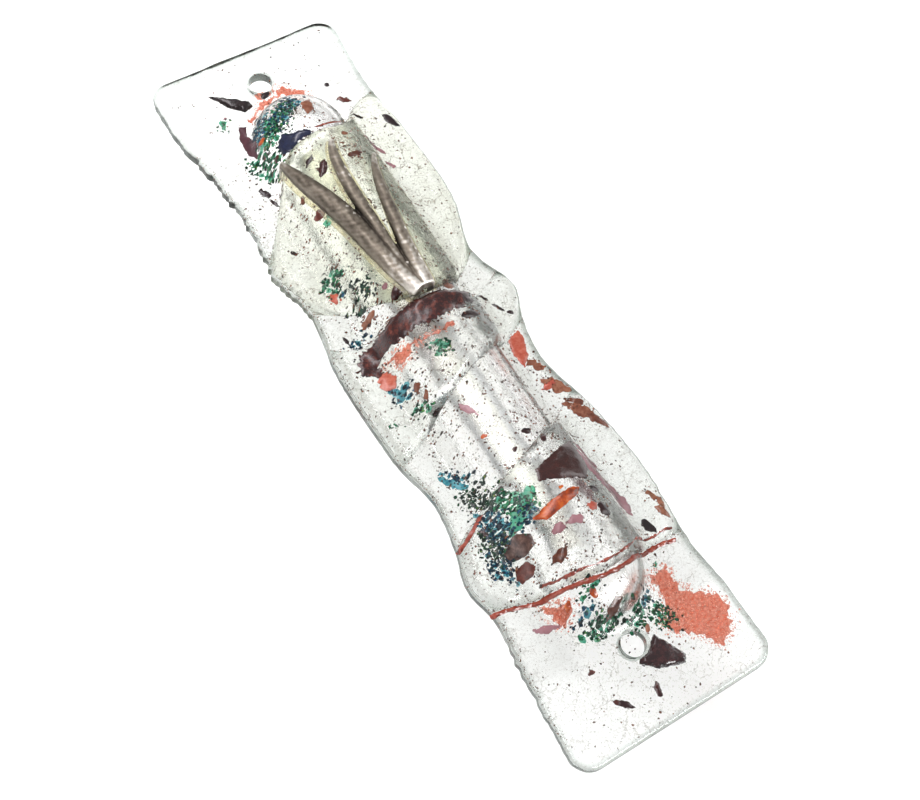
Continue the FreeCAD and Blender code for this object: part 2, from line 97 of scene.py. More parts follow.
# Each long edge as (y, x) from the lower to the upper corner
LEFT_EDGE = [
    (-81, -22.4), (-64, -21.3), (-51, -20.3), (-45, -21.5), (-36.5, -19.2), (-26.5, -17.9),
    (-17, -19.9), (-8, -20.5), (8, -20.4), (20.5, -18.5), (31, -20.9), (42, -19.8),
    (57, -20.4), (70, -22.6), (81, -22.9),
]
RIGHT_EDGE = [
    (-81, 22.9), (-70, 22.7), (-58, 21.6), (-43, 22.7), (-25, 21.2), (-11, 18.1), (-1, 19.6),
    (6, 22.3), (17, 18.8), (30, 22.2), (51, 22.4), (66, 21.0), (81, 22.2),
]

# Lower and upper edge of each cover as (x, y)
COVER_EDGES = {
    "cover_glass_bottom": (
        [(-26, -49.5), (-13, -53), (0, -56.6), (10, -55.6), (26, -56.2)],
        [(-26, -41), (-12, -33.4), (0, -29.5), (10, -25), (26, -15.5)],
    ),
    "cover_glass_middle": (
        [(-26, -21), (-10, -13.5), (10, -5.5), (26, 1.5)],
        [(-26, 16.5), (-15, 9), (-5.6, 8.9), (3, 8.6), (9, 7.4), (14, 8), (26, 14)],
    ),
    "cover_glass_top": (
        [(-26, 25), (-12, 16), (-4, 10.2), (6, 9.6), (14, 14), (26, 24.5)],
        [(-26, 31), (-18, 37.5), (-12.5, 45), (-7.5, 51), (0, 52.8), (8, 54), (13, 59.5), (26, 64)],
    ),
}

# Thin stains of melted rust glass: (x, y, half length, half width, direction in degrees)
RUST_STAINS = [
    (18.0, -26.5, 5.0, 1.3, -62), (16.6, -17.6, 3.0, 1.1, -50), (15.4, -11.2, 2.2, 0.9, -62),
    (19.6, -48.0, 2.8, 0.8, -66),
]

# Patches where green and blue glass have melted out smooth, in the same terms
MELTED_PATCHES = {
    "green": [(-7.3, -39.0, 4.4, 1.5, 35), (-3.3, -2.6, 1.8, 0.8, -40)],
    "blue": [(-12.9, -25.4, 3.0, 0.8, -55), (-12.6, -5.2, 1.6, 0.8, 60)],
}

# The broad end of the longest mauve streak, in the same terms
MAUVE_STREAK = (11.4, -40.5, 8.0, 1.5, -72)

# Smears of fine brown grains, in the same terms
BROWN_SMEARS = [
    (-16.8, -44.0, 5.5, 1.8, -75), (18.2, -25.0, 7.0, 1.2, -62), (16.6, -12.0, 5.0, 1.3, -60),
    (6.0, -43.0, 4.0, 1.6, 70), (4.0, 0.4, 6.0, 0.9, 8), (3.5, -23.0, 4.0, 2.2, 60),
    (-13.6, 32.0, 2.4, 1.0, -50), (2.5, 46.0, 4.5, 1.5, -60), (-9.0, 12.0, 4.0, 1.6, -40),
]

# Colours of each glass from its darkest pieces to its palest, as (share, colour)
COLOURS = {
    "oxblood": [(0.1, (0.01, 0.004, 0.005)), (0.5, (0.038, 0.009, 0.008)), (0.8, (0.11, 0.026, 0.018)),
                (1.0, (0.24, 0.07, 0.05))],
    "black": [(0.1, (0.006, 0.004, 0.005)), (0.7, (0.022, 0.008, 0.009)), (1.0, (0.07, 0.022, 0.022))],
    "maroon": [(0.1, (0.014, 0.004, 0.003)), (0.7, (0.04, 0.01, 0.008)), (1.0, (0.09, 0.025, 0.018))],
    "purple": [(0.1, (0.03, 0.01, 0.016)), (0.6, (0.09, 0.03, 0.04)), (1.0, (0.25, 0.12, 0.15))],
    "navy": [(0.1, (0.006, 0.006, 0.014)), (0.7, (0.014, 0.018, 0.05)), (1.0, (0.03, 0.07, 0.14))],
    "brown": [(0.1, (0.05, 0.014, 0.009)), (0.5, (0.18, 0.055, 0.03)), (1.0, (0.46, 0.2, 0.12))],
    "umber": [(0.1, (0.02, 0.01, 0.009)), (0.5, (0.065, 0.032, 0.026)), (1.0, (0.16, 0.09, 0.07))],
    "mauve": [(0.1, (0.3, 0.12, 0.14)), (0.5, (0.46, 0.24, 0.27)), (1.0, (0.62, 0.42, 0.46))],
    "coral": [(0.1, (0.3, 0.045, 0.03)), (0.5, (0.48, 0.1, 0.06)), (1.0, (0.66, 0.22, 0.15))],
    "coral_dust": [(0.0, (0.6, 0.17, 0.11)), (0.5, (0.76, 0.32, 0.23)), (1.0, (0.94, 0.68, 0.56))],
    "orange": [(0.1, (0.12, 0.02, 0.01)), (0.5, (0.46, 0.07, 0.012)), (1.0, (0.8, 0.22, 0.03))],
    "red": [(0.1, (0.16, 0.02, 0.012)), (0.5, (0.32, 0.055, 0.033)), (1.0, (0.52, 0.15, 0.1))],
    "green": [(0.0, (0.002, 0.01, 0.006)), (0.35, (0.003, 0.032, 0.015)), (0.65, (0.008, 0.12, 0.055)),
              (0.82, (0.05, 0.28, 0.12)), (0.93, (0.28, 0.42, 0.07)), (1.0, (0.55, 0.78, 0.48))],
    "pale_green": [(0.1, (0.02, 0.34, 0.22)), (0.5, (0.2, 0.58, 0.42)), (1.0, (0.62, 0.84, 0.66))],
    "blue": [(0.0, (0.003, 0.008, 0.018)), (0.45, (0.005, 0.022, 0.045)), (0.75, (0.008, 0.065, 0.1)),
             (0.93, (0.03, 0.13, 0.3)), (1.0, (0.25, 0.55, 0.68))],
    "pale_blue": [(0.1, (0.02, 0.22, 0.34)), (0.5, (0.16, 0.5, 0.56)), (1.0, (0.6, 0.8, 0.84))],
    "bottle": [(0.0, (0.003, 0.006, 0.005)), (0.5, (0.006, 0.02, 0.013)), (0.8, (0.012, 0.07, 0.035)),
               (0.92, (0.2, 0.28, 0.05)), (1.0, (0.45, 0.14, 0.08))],
    "rust": [(0.0, (0.01, 0.01, 0.01)), (0.3, (0.028, 0.018, 0.014)), (0.6, (0.1, 0.038, 0.024)),
             (0.85, (0.26, 0.11, 0.06)), (1.0, (0.42, 0.24, 0.15))],
}


# ---- shape of the glass

def smooth(points):
    """A function that runs smoothly through the points, which rise in their first number."""
    at, value = np.array(points, float).T
    slope = np.gradient(value, at)

    def height(t):
        t = np.clip(t, at[0], at[-1])
        i = np.clip(np.searchsorted(at, t) - 1, 0, len(at) - 2)
        span = at[i + 1] - at[i]
        s = (t - at[i]) / span
        start = (2 * s**3 - 3 * s**2 + 1) * value[i] + (s**3 - 2 * s**2 + s) * span * slope[i]
        end = (3 * s**2 - 2 * s**3) * value[i + 1] + (s**3 - s**2) * span * slope[i + 1]
        return start + end

    return height


def level(y):
    """A straight crosswise line at y."""
    return lambda x: np.full_like(x, y)


LEFT = smooth(LEFT_EDGE)
RIGHT = smooth(RIGHT_EDGE)
COVERS = {name: tuple(smooth(edge) for edge in edges) for name, edges in COVER_EDGES.items()}


def waves(x, y, seed, size, height):
    """Uneven swell of slumped glass: a few crossing waves of about one size."""
    rng = np.random.default_rng(seed)
    total = 0.0
    for _ in range(7):
        turn = rng.uniform(0, 2 * math.pi)
        length = size * rng.uniform(0.6, 1.6)
        shift = rng.uniform(0, 2 * math.pi)
        total = total + np.sin(2 * math.pi * (x * math.cos(turn) + y * math.sin(turn)) / length + shift)
    return height * total / 3.0


def nibble(y, seed, bitten):
    """Small bites along a long edge, deepest about the places given as (y, reach, depth)."""
    fine = waves(y, 0 * y, seed, 2.0, 0.14) + waves(y, 0 * y, seed + 1, 6.0, 0.10)
    deep = sum(depth * np.exp(-((y - middle) / reach) ** 2) for middle, reach, depth in bitten)
    return fine * (0.35 + deep)


def left_bites(y):
    return nibble(y, 31, [(46.0, 22.0, 2.2), (-66.0, 10.0, 1.3)])


def right_bites(y):
    return nibble(y, 41, [(-52.0, 6.0, 0.5)])


def corner_cut(y):
    """How far the rounded corners draw in the long edges at y."""
    past = np.clip(np.abs(y) - (END_Y - CORNER), 0, CORNER)
    return CORNER - np.sqrt(CORNER**2 - past**2)


def left_x(y):
    return LEFT(y) + left_bites(y) + corner_cut(y)


def right_x(y):
    return RIGHT(y) + right_bites(y) - corner_cut(y)


def plate_depth(x, y):
    """Distance in from the plate's outline, right as far in as the corner radius."""
    side = np.minimum(x - LEFT(y) - left_bites(y), RIGHT(y) + right_bites(y) - x)
    end = END_Y - np.abs(y)
    return CORNER - np.hypot(np.maximum(CORNER - side, 0), np.maximum(CORNER - end, 0))


def cover_depth(x, y, cover):
    """Distance in from a cover's edge; negative outside it."""
    low, high = COVERS[cover]
    return np.minimum(np.minimum(y - low(x), high(x) - y), plate_depth(x, y) - COVER_INSET)


def melted_depth(x, y, cover):
    """Distance in from a cover's edge with its corners melted round."""
    low, high = COVERS[cover]
    across = np.maximum(COVER_CORNER - np.minimum(y - low(x), high(x) - y), 0)
    side = np.maximum(COVER_CORNER - (plate_depth(x, y) - COVER_INSET), 0)
    return COVER_CORNER - np.hypot(across, side)


def rounded(depth, radius):
    """How far a rounded edge falls below the flat at a depth in from the outline."""
    short = np.clip(1 - depth / radius, 0, 1)
    return radius * (1 - np.sqrt(1 - short**2))


def tunnel_section(x, y, radius, flange, fillet):
    """Height of a skin with a round-ended tunnel that runs out into a flat flange."""
    past = np.maximum(np.maximum(TUNNEL_LOW - y, y - TUNNEL_HIGH), 0)
    distance = np.hypot(x, past)
    rise = flange + fillet - AXIS_Z
    centre = math.sqrt((radius + fillet) ** 2 - rise**2)
    dome = AXIS_Z + np.sqrt(np.maximum(radius**2 - distance**2, 0))
    away = np.clip(centre - distance, 0, fillet)
    run_out = flange + fillet - np.sqrt(np.maximum(fillet**2 - away**2, 0))
    return np.where(distance < centre * radius / (radius + fillet), dome, run_out)


def base_top(x, y):
    """Upper face of the full-size sheet."""
    skin = tunnel_section(x, y, BASE_R, BASE_SHEET, FOOT_FILLET)
    swell = waves(x, y, 1, 15.0, 0.16) + waves(x, y, 2, 4.2, 0.035)
    return skin + swell - rounded(plate_depth(x, y), EDGE_ROUND)


def base_back(x, y):
    """Back of the full-size sheet, with the hollow of the tunnel."""
    return tunnel_section(x, y, CAVITY_R, 0.0, LIP_FILLET) + rounded(plate_depth(x, y), BACK_ROUND)


def cover_top(x, y, cover):
    """Upper face of a cover, run down to the base at its melted edge."""
    thick = tunnel_section(x, y, BASE_R + COVER_SHEET, BASE_SHEET + COVER_SHEET, FOOT_FILLET)
    thick = thick - tunnel_section(x, y, BASE_R, BASE_SHEET, FOOT_FILLET)
    thick = thick + waves(x, y, 5, 7.0, 0.10) + waves(x, y, 6, 2.6, 0.03)
    short = np.clip(1 - melted_depth(x, y, cover) / COVER_ROUND, 0, 1)
    return base_top(x, y) + thick * (1 - short**2.2)


def glass_top(x, y):
    """Uppermost face of the glass, covers included."""
    top = base_top(x, y)
    for cover in COVERS:
        top = np.where(cover_depth(x, y, cover) > 0, cover_top(x, y, cover), top)
    return top


def lift(plan, height):
    """Points at a height above the glass, measured square to its surface."""
    x, y = plan.T
    step = 0.08
    slope_x = (glass_top(x + step, y) - glass_top(x - step, y)) / (2 * step)
    slope_y = (glass_top(x, y + step) - glass_top(x, y - step)) / (2 * step)
    normal = np.stack([-slope_x, -slope_y, np.ones_like(x)], 1)
    normal /= np.linalg.norm(normal, axis=1)[:, None]
    return np.stack([x, y, glass_top(x, y)], 1) + normal * np.reshape(height, (-1, 1))


# ---- meshes

def make_piece(name, points, faces, materials, indices=None, body="case"):
    """A smooth-shaded piece that rides on a body, from points in millimetres."""
    mesh = bpy.data.meshes.new(name)
    mesh.from_pydata((np.asarray(points) * MM).tolist(), [], faces)
    for material in materials:
        mesh.materials.append(material)
    mesh.polygons.foreach_set("use_smooth", [True] * len(mesh.polygons))
    if indices is not None:
        mesh.polygons.foreach_set("material_index", indices)
    mesh.update()
    piece = bpy.data.objects.new(name, mesh)
    bpy.context.scene.collection.objects.link(piece)
    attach(piece, body)
    return piece


def note_depth(piece, depth):
    """Keeps each point's distance in from the outline, for the painted shade along the glass's edge."""
    piece.data.attributes.new("depth", "FLOAT", "POINT").data.foreach_set("value", depth)


def stand_for(node):
    """The piece is shown in place of a CAD node, which is hidden."""
    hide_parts(node)


def column_rule(inset, spacing):
    """Columns of a plan grid, each as weights of the two long edges and an offset."""
    edge = [inset + step for step in (*PLATE_RIM, 1.7)]
    fine = np.arange(CROWN, STRIP + 0.01, 0.6 * spacing)
    dome = np.concatenate([-fine[::-1], np.arange(-CROWN, CROWN, spacing)[1:], fine])
    between = np.linspace(0, 1, int(FLANGE / spacing), endpoint=False)[1:]
    rule = [(1, 0, step) for step in edge]
    rule += [(1 - t, 0, (1 - t) * edge[-1] - STRIP * t) for t in between]
    rule += [(0, 0, x) for x in dome]
    rule += [(0, t, STRIP * (1 - t) - t * edge[-1]) for t in between]
    rule += [(0, 1, -step) for step in edge[::-1]]
    return np.array(rule, float)


def plan_grid(curves, spacings, inset, spacing, edge):
    """Grid of plan points between crosswise curves and the long edges.

    Each row lies between two curves, as weights of the curves and an offset.
    """
    columns = column_rule(inset, spacing)
    weights, offsets = [], []
    last = len(curves) - 1
    only = np.eye(last + 1)
    for step in edge:
        weights.append(only[0])
        offsets.append(step)
    for number, gap_step in enumerate(spacings):
        gap = (curves[number + 1](np.zeros(1)) - curves[number](np.zeros(1)))[0]
        count = max(2, int(round(gap / gap_step)))
        low = edge[-1] if number == 0 else 0.0
        high = -edge[-1] if number == last - 1 else 0.0
        for step in range(1, count + (number < last - 1)):
            t = step / count
            weights.append((1 - t) * only[number] + t * only[number + 1])
            offsets.append((1 - t) * low + t * high)
    for step in edge[::-1]:
        weights.append(only[last])
        offsets.append(-step)
    weights, offsets = np.array(weights), np.array(offsets)
    x = np.tile(np.linspace(-20, 20, len(columns)), (len(offsets), 1))
    # A row's y depends on x along its curves, and a column's x on y along the wavy edges.
    for _ in range(30):
        y = sum(weights[:, k, None] * curve(x) for k, curve in enumerate(curves)) + offsets[:, None]
        x = columns[:, 0] * left_x(y) + columns[:, 1] * right_x(y) + columns[:, 2]
    return x, y


def grid_faces(rows, columns):
    """Quads of a grid, facing up."""
    index = np.arange(rows * columns).reshape(rows, columns)
    corners = [index[:-1, :-1], index[:-1, 1:], index[1:, 1:], index[1:, :-1]]
    return np.stack(corners, -1).reshape(-1, 4)


def grid_rim(rows, columns):
    """Indices round the edge of a grid, anticlockwise from above."""
    index = np.arange(rows * columns).reshape(rows, columns)
    return np.concatenate([index[0, :-1], index[:-1, -1], index[-1, :0:-1], index[:0:-1, 0]])


def lathe(profile, segments):
    """Points and faces of a solid turned about the Z axis from (radius, z) pairs."""
    points = []
    for radius, z in profile:
        for step in range(segments):
            turn = 2 * math.pi * step / segments
            points.append((radius * math.cos(turn), radius * math.sin(turn), z))
    faces = [list(range(segments))[::-1], list(range(len(points) - segments, len(points)))]
    for ring in range(len(profile) - 1):
        for step in range(segments):
            after = (step + 1) % segments
            low, high = ring * segments, (ring + 1) * segments
            faces.append([low + step, low + after, high + after, high + step])
    return np.array(points), faces


def drill(piece, material):
    """Cuts the mounting holes, with worn rims, through the plate."""
    wide, rim = HOLE_R + HOLE_BEVEL, HOLE_BEVEL
    profile = [(wide + 1, -1), (wide, 0), (HOLE_R + 0.3 * rim, 0.3 * rim), (HOLE_R, rim)]
    profile += [(radius, BASE_SHEET - z) for radius, z in profile[::-1]]
    for y in HOLES_Y:
        points, faces = lathe(profile, 56)
        cutter = make_piece("cutter", points + (0, y, 0), faces, [material])
        cut = piece.modifiers.new("hole", "BOOLEAN")
        cut.operation = "DIFFERENCE"
        cut.solver = "EXACT"
        cut.object = cutter
        settle(piece)
        bpy.data.objects.remove(cutter)


def settle(piece):
    """Bakes a piece's modifiers into its mesh."""
    bpy.context.view_layer.update()
    shown = piece.evaluated_get(bpy.context.evaluated_depsgraph_get())
    mesh = bpy.data.meshes.new_from_object(shown)
    piece.modifiers.clear()
    piece.data = mesh


def plate(glass, bond):
    """The full-size sheet, slumped over the tunnel's mould."""
    curves = [level(-END_Y), level(-71.0)]
    for cover in COVERS.values():
        curves += cover
    curves += [level(73.0), level(END_Y)]
    spacings = (0.7, 0.34, 0.5, 0.55, 0.5, 0.4, 0.5, 0.38, 0.7)
    x, y = plan_grid(curves, spacings, 0.0, GRID, PLATE_RIM)
    rows, columns = x.shape
    x, y = x.ravel(), y.ravel()
    points = np.concatenate([np.stack([x, y, base_top(x, y)], 1), np.stack([x, y, base_back(x, y)], 1)])
    faces = grid_faces(rows, columns)
    rim = grid_rim(rows, columns)
    after = np.roll(rim, -1)
    wall = np.stack([rim + len(x), after + len(x), after, rim], 1)
    centre_x, centre_y = x[faces].mean(1), y[faces].mean(1)
    bonded = sum(cover_depth(centre_x, centre_y, cover) > 0 for cover in COVERS)
    indices = np.concatenate([bonded, np.zeros(len(faces) + len(wall), int)])
    every = np.concatenate([faces, faces[:, ::-1] + len(x), wall])
    piece = make_piece("base_sheet", points, every.tolist(), [glass, bond], indices.tolist())
    note_depth(piece, np.tile(plate_depth(x, y), 2))
    drill(piece, glass)
    piece.data.set_sharp_from_angle(angle=math.radians(60))
    stand_for("base_glass")


def cover(name, glass, bond):
    """One of the sheets fused across the plate, melted to a full round at its edges."""
    x, y = plan_grid(COVERS[name], (0.45,), COVER_INSET, GRID, COVER_RIM)
    rows, columns = x.shape
    x, y = x.ravel(), y.ravel()
    faces = grid_faces(rows, columns)
    inner = np.setdiff1d(np.arange(len(x)), grid_rim(rows, columns))
    below = np.arange(len(x))
    below[inner] = len(x) + np.arange(len(inner))
    top = np.stack([x, y, cover_top(x, y, name)], 1)
    under = np.stack([x, y, base_top(x, y)], 1)[inner]
    every = np.concatenate([faces, below[faces[:, ::-1]]])
    indices = [0] * len(faces) + [1] * len(faces)
    piece = make_piece(name.replace("glass", "sheet"), np.concatenate([top, under]), every.tolist(),
                       [glass, bond], indices)
    # Distance in for the painted shade along the cover's edge, which is paler than at the plate's edge.
    depth = COVER_PALER + melted_depth(x, y, name)
    note_depth(piece, np.concatenate([depth, depth[inner]]))
    stand_for(name)


# ---- coloured glass

def islands(node):
    """Plan outline of each separate solid of a CAD node."""
    build = bmesh.new()
    build.from_mesh(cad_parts[node].data)
    bmesh.ops.remove_doubles(build, verts=build.verts, dist=1e-6)
    build.normal_update()
    edges = set()
    for face in build.faces:
        if face.normal.z < 0.1:
            continue
        for loop in face.loops:
            start, end = loop.vert.index, loop.link_loop_next.vert.index
            if (end, start) in edges:
                edges.remove((end, start))
            else:
                edges.add((start, end))
    build.verts.ensure_lookup_table()
    after = dict(edges)
    outlines = []
    while after:
        start, at = after.popitem()
        loop = [start]
        while at != start and at in after:
            loop.append(at)
            at = after.pop(at)
        outline = np.array([build.verts[i].co.xy for i in loop]) / MM
        if area(outline) > 0.08:
            outlines.append(outline)
    build.free()
    return outlines


def area(outline):
    """Area inside an outline that runs anticlockwise."""
    x, y = outline.T
    return 0.5 * float(np.sum(x * np.roll(y, -1) - np.roll(x, -1) * y))


def inside_by(points, outline):
    """Distance of each plan point in from an outline; negative outside it."""
    start = outline[None]
    step = np.roll(outline, -1, 0)[None] - start
    away = points[:, None] - start
    share = np.clip((away * step).sum(2) / np.maximum((step**2).sum(2), 1e-12), 0, 1)
    nearest = np.linalg.norm(away - step * share[..., None], axis=2).min(1)
    above = start[..., 1] > points[:, None, 1]
    end_above = (start + step)[..., 1] > points[:, None, 1]
    rise = np.where(above != end_above, step[..., 1], 1.0)
    crossing = start[..., 0] + (points[:, None, 1] - start[..., 1]) * step[..., 0] / rise
    hits = (above != end_above) & (points[:, None, 0] < crossing)
    return np.where(hits.sum(1) % 2 == 1, nearest, -nearest)


def broken(outline, rough, rng, spacing=0.3, shift=0.0):
    """The outline moved out by a shift, with fine uneven bites like those of broken glass."""
    closed = np.concatenate([outline, outline[:1]])
    length = np.concatenate([[0], np.cumsum(np.linalg.norm(np.diff(closed, axis=0), axis=1))])
    count = max(8, int(length[-1] / spacing))
    at = np.linspace(0, length[-1], count, endpoint=False)
    points = np.stack([np.interp(at, length, closed[:, 0]), np.interp(at, length, closed[:, 1])], 1)
    along = np.roll(points, -1, 0) - np.roll(points, 1, 0)
    along /= np.maximum(np.linalg.norm(along, axis=1), 1e-9)[:, None]
    bite = rng.normal(0, rough, count)
    bite = 0.5 * bite + 0.25 * (np.roll(bite, 1) + np.roll(bite, -1)) + rng.normal(0, 0.35 * rough, count)
    return points + np.stack([along[:, 1], -along[:, 0]], 1) * (shift + bite)[:, None]


def filled(outline, spacing, rng):
    """Plan points and triangles that fill an outline, its own points first."""
    low, high = outline.min(0), outline.max(0)
    grid_x, grid_y = np.meshgrid(np.arange(low[0], high[0], spacing), np.arange(low[1], high[1], spacing))
    inner = np.stack([grid_x.ravel(), grid_y.ravel()], 1)
    inner = inner + rng.uniform(-0.3, 0.3, inner.shape) * spacing
    inner = inner[inside_by(inner, outline) > 0.45 * spacing]
    points = [Vector(p) for p in np.concatenate([outline, inner])]
    rim = [list(range(len(outline)))]
    plan, _, faces, *_ = delaunay_2d_cdt(points, [], rim, 1, 1e-5)
    return np.array([p[:] for p in plan]), np.array(faces)


def open_edges(faces):
    """Edges used by only one triangle, in the triangles' direction."""
    edges = {}
    for face in faces:
        for start, end in zip(face, np.roll(face, -1)):
            if not edges.pop((end, start), False):
                edges[(start, end)] = True
    return np.array(list(edges))


def shard(outline, thick, edge, spacing, rng, sunk=0.15):
    """Plan points, heights and faces of one piece laid on the glass, with melted edges."""
    plan, faces = filled(outline, spacing, rng)
    depth = inside_by(plan, outline)
    rise = thick * np.sqrt(1 - np.clip(1 - np.abs(depth) / edge, 0, 1) ** 2)
    rise = rise + waves(plan[:, 0], plan[:, 1], 8, 2.4, 0.03) * np.clip(depth / edge, 0, 1)
    edges = open_edges(faces.tolist())
    count = len(plan)
    wall = np.stack([edges[:, 0] + count, edges[:, 1] + count, edges[:, 1], edges[:, 0]], 1)
    every = faces.tolist() + (faces[:, ::-1] + count).tolist() + wall.tolist()
    return np.concatenate([plan, plan]), np.concatenate([rise, np.full(count, -sunk)]), every


def crushed(centres, sizes, rng, thick=0.35, sides=7):
    """Plan points, heights and faces of grains of crushed glass."""
    count = len(centres)
    turn = np.arange(sides) / sides * 2 * math.pi + rng.uniform(-0.3, 0.3, (count, sides))
    reach = sizes[:, None] * rng.uniform(0.6, 1.15, (count, sides))
    spin = rng.uniform(0, math.pi, (count, 1))
    narrow = rng.uniform(0.5, 1.0, (count, 1))
    along, across = reach * np.cos(turn), reach * np.sin(turn) * narrow
    outer = np.stack([along * np.cos(spin) - across * np.sin(spin),
                      along * np.sin(spin) + across * np.cos(spin)], 2)
    middle = np.zeros((count, 1, 2))
    plan = np.concatenate([outer, 0.6 * outer, middle, middle], 1) + centres[:, None]
    height = np.zeros((count, 2 * sides + 2))
    height[:, sides:2 * sides + 1] = (sizes * thick)[:, None]
    height[:, :sides] = 0.01
    height[:, -1] = -0.12
    here = np.arange(sides)
    after = (here + 1) % sides
    top = np.full(sides, 2 * sides)
    quads = np.stack([here, after, after + sides, here + sides], 1)
    caps = np.concatenate([np.stack([here + sides, after + sides, top], 1),
                           np.stack([after, here, top + 1], 1)])
    shift = (np.arange(count) * (2 * sides + 2))[:, None, None]
    faces = (quads[None] + shift).reshape(-1, 4).tolist() + (caps[None] + shift).reshape(-1, 3).tolist()
    return plan.reshape(-1, 2), height.ravel(), faces


def laid_piece(node, *groups):
    """One piece of shapes laid on the glass, in groups of (material, shapes), for a CAD node."""
    plans, heights, faces, indices = [], [], [], []
    first = 0
    for index, (_, shapes) in enumerate(groups):
        for plan, height, shape_faces in shapes:
            plans.append(plan)
            heights.append(height)
            faces += [[first + corner for corner in face] for face in shape_faces]
            indices += [index] * len(shape_faces)
            first += len(plan)
    points = lift(np.concatenate(plans), np.concatenate(heights))
    piece = make_piece(node + "_laid", points, faces, [material for material, _ in groups], indices)
    piece.data.set_sharp_from_angle(angle=math.radians(40))
    stand_for(node)


def scatter(outline, density, spill, rng):
    """Random plan points over an outline that thin out over a spill beyond it."""
    low, high = outline.min(0) - spill, outline.max(0) + spill
    count = int(density * (high - low).prod())
    points = rng.uniform(low, high, (count, 2))
    depth = inside_by(points, outline)
    drift = 0.5 + 0.5 * waves(points[:, 0], points[:, 1], 11, 3.0, 0.9)
    keep = rng.uniform(0, 1, count) < np.clip(0.9 + depth / spill, 0, 1) ** 3 * np.clip(drift, 0.15, 1)
    points = points[keep]
    return points[plate_depth(points[:, 0], points[:, 1]) > 0.8]


def dusting(outlines, density, spill, sizes, rng):
    """Fine grains over and round some outlines."""
    points = np.concatenate([scatter(outline, density, spill, rng) for outline in outlines])
    spans = sizes[0] + (sizes[1] - sizes[0]) * rng.uniform(0, 1, len(points)) ** 2.5
    return crushed(points, spans, rng, thick=0.5, sides=5)


def shards(node, material, seed, thick=0.22, edge=0.45, rough=0.10, spacing=0.5, dust=0.0, extra=(),
           smears=(), stains=()):
    """The larger pieces of coloured glass of one node, with fine grains, smears and stains."""
    rng = np.random.default_rng(seed)
    outlines = islands(node)
    stains = [ellipse(*stain) for stain in stains]
    smears = [ellipse(*smear) for smear in smears]
    shapes = []
    for outline in outlines + list(extra):
        shapes.append(shard(broken(outline, rough, rng), thick, edge, spacing, rng))
    for stain in stains:
        shapes.append(shard(broken(stain, 0.5, rng, 0.5), 0.05, 0.6, 0.6, rng))
    if dust:
        shapes.append(dusting(outlines + smears + stains, dust, 2.6, (0.07, 0.34), rng))
    laid_piece(node, (material, shapes))


def heaps(node, around, reach, sizes, rng, patches=()):
    """A heap of grains round each of a node's grains, and the melted pools and patches of colour."""
    centres, spans, pools = [], [], []
    for outline in islands(node):
        middle = outline.mean(0)
        centres.append(middle[None])
        spans.append([0.5 * math.sqrt(area(outline))])
        count = rng.integers(around[0], around[1] + 1)
        centres.append(middle + rng.normal(0, reach, (count, 2)))
        spans.append(sizes[0] + (sizes[1] - sizes[0]) * rng.uniform(0, 1, count) ** 2)
        pools.append(middle)
    grains = crushed(np.concatenate(centres), np.concatenate(spans), rng)
    pools = np.array(pools)
    melted = [crushed(pools, rng.uniform(0.4, 0.95, len(pools)), rng, thick=0.03, sides=11)]
    melted += [shard(broken(ellipse(*patch), 0.3, rng, 0.4), 0.06, 0.6, 0.5, rng) for patch in patches]
    return grains, melted


def powder(node, grain, sheer, seed, density=16.0, spill=2.2):
    """Crushed colour sifted on: a thin melted film with a granular edge, and loose grains."""
    rng = np.random.default_rng(seed)
    outlines = islands(node)
    loose = dusting(outlines, density, spill, (0.08, 0.30), rng)
    melted = [shard(broken(outline, 0.5, rng, 0.45, -0.8), 0.05, 0.6, 0.55, rng, sunk=0.08)
              for outline in outlines]
    laid_piece(node, (grain, [loose]), (sheer, melted))


def strand(low_x, high_x, curve, rise, width):
    """Outline of a thin thread that follows a crosswise curve at a distance above it."""
    x = np.linspace(low_x, high_x, 70)
    y = curve(x) + rise + waves(x, 0 * x, 71, 9.0, 0.25)
    half = 0.5 * width * (1 + waves(x, 0 * x, 72, 3.0, 0.4))
    under, over = np.stack([x, y - half], 1), np.stack([x, y + half], 1)
    return np.concatenate([under, over[::-1]])


def ellipse(x, y, length, width, degrees):
    """Outline of an ellipse by its centre, its half length and half width, and its direction."""
    turn = math.radians(degrees)
    around = np.linspace(0, 2 * math.pi, 24, endpoint=False)
    along, across = length * np.cos(around), width * np.sin(around)
    return np.stack([x + along * math.cos(turn) - across * math.sin(turn),
                     y + along * math.sin(turn) + across * math.cos(turn)], 1)


def specks(count, rng):
    """Fine specks and seeds strewn all over the plate, thickest on the covers and the tunnel."""
    points = rng.uniform((-23, -END_Y), (23, END_Y), (count, 2))
    x, y = points.T
    on_tunnel = 0.35 + 0.65 * (np.abs(x) < 14)
    between = 0.25 + 0.75 * ((y > -58) & (y < 60))
    clumps = np.clip(0.55 + 0.7 * waves(x, y, 12, 5.0, 0.9), 0.12, 1)
    points = points[rng.uniform(0, 1, count) < on_tunnel * between * clumps]
    points = points[plate_depth(*points.T) > 1.0]
    return crushed(points, 0.07 + 0.30 * rng.uniform(0, 1, len(points)) ** 4, rng, thick=0.4, sides=5)


def seam_dirt(count, rng):
    """Dark crumbs caught along the covers' edges and along the bitten left edge of the plate."""
    rows = []
    for low, high in COVERS.values():
        for edge in (low, high):
            x = rng.uniform(-20, 21, count)
            rows.append(np.stack([x, edge(x) + rng.normal(0, 0.3, count)], 1))
    y = rng.uniform(-79, 66, 3 * count)
    rows.append(np.stack([left_x(y) + rng.uniform(0.15, 1.1, 3 * count) ** 1.5, y], 1))
    points = np.concatenate(rows)
    points = points[plate_depth(*points.T) > 0.1]
    return crushed(points, 0.06 + 0.16 * rng.uniform(0, 1, len(points)) ** 2, rng, thick=0.3, sides=5)


# ---- finishes

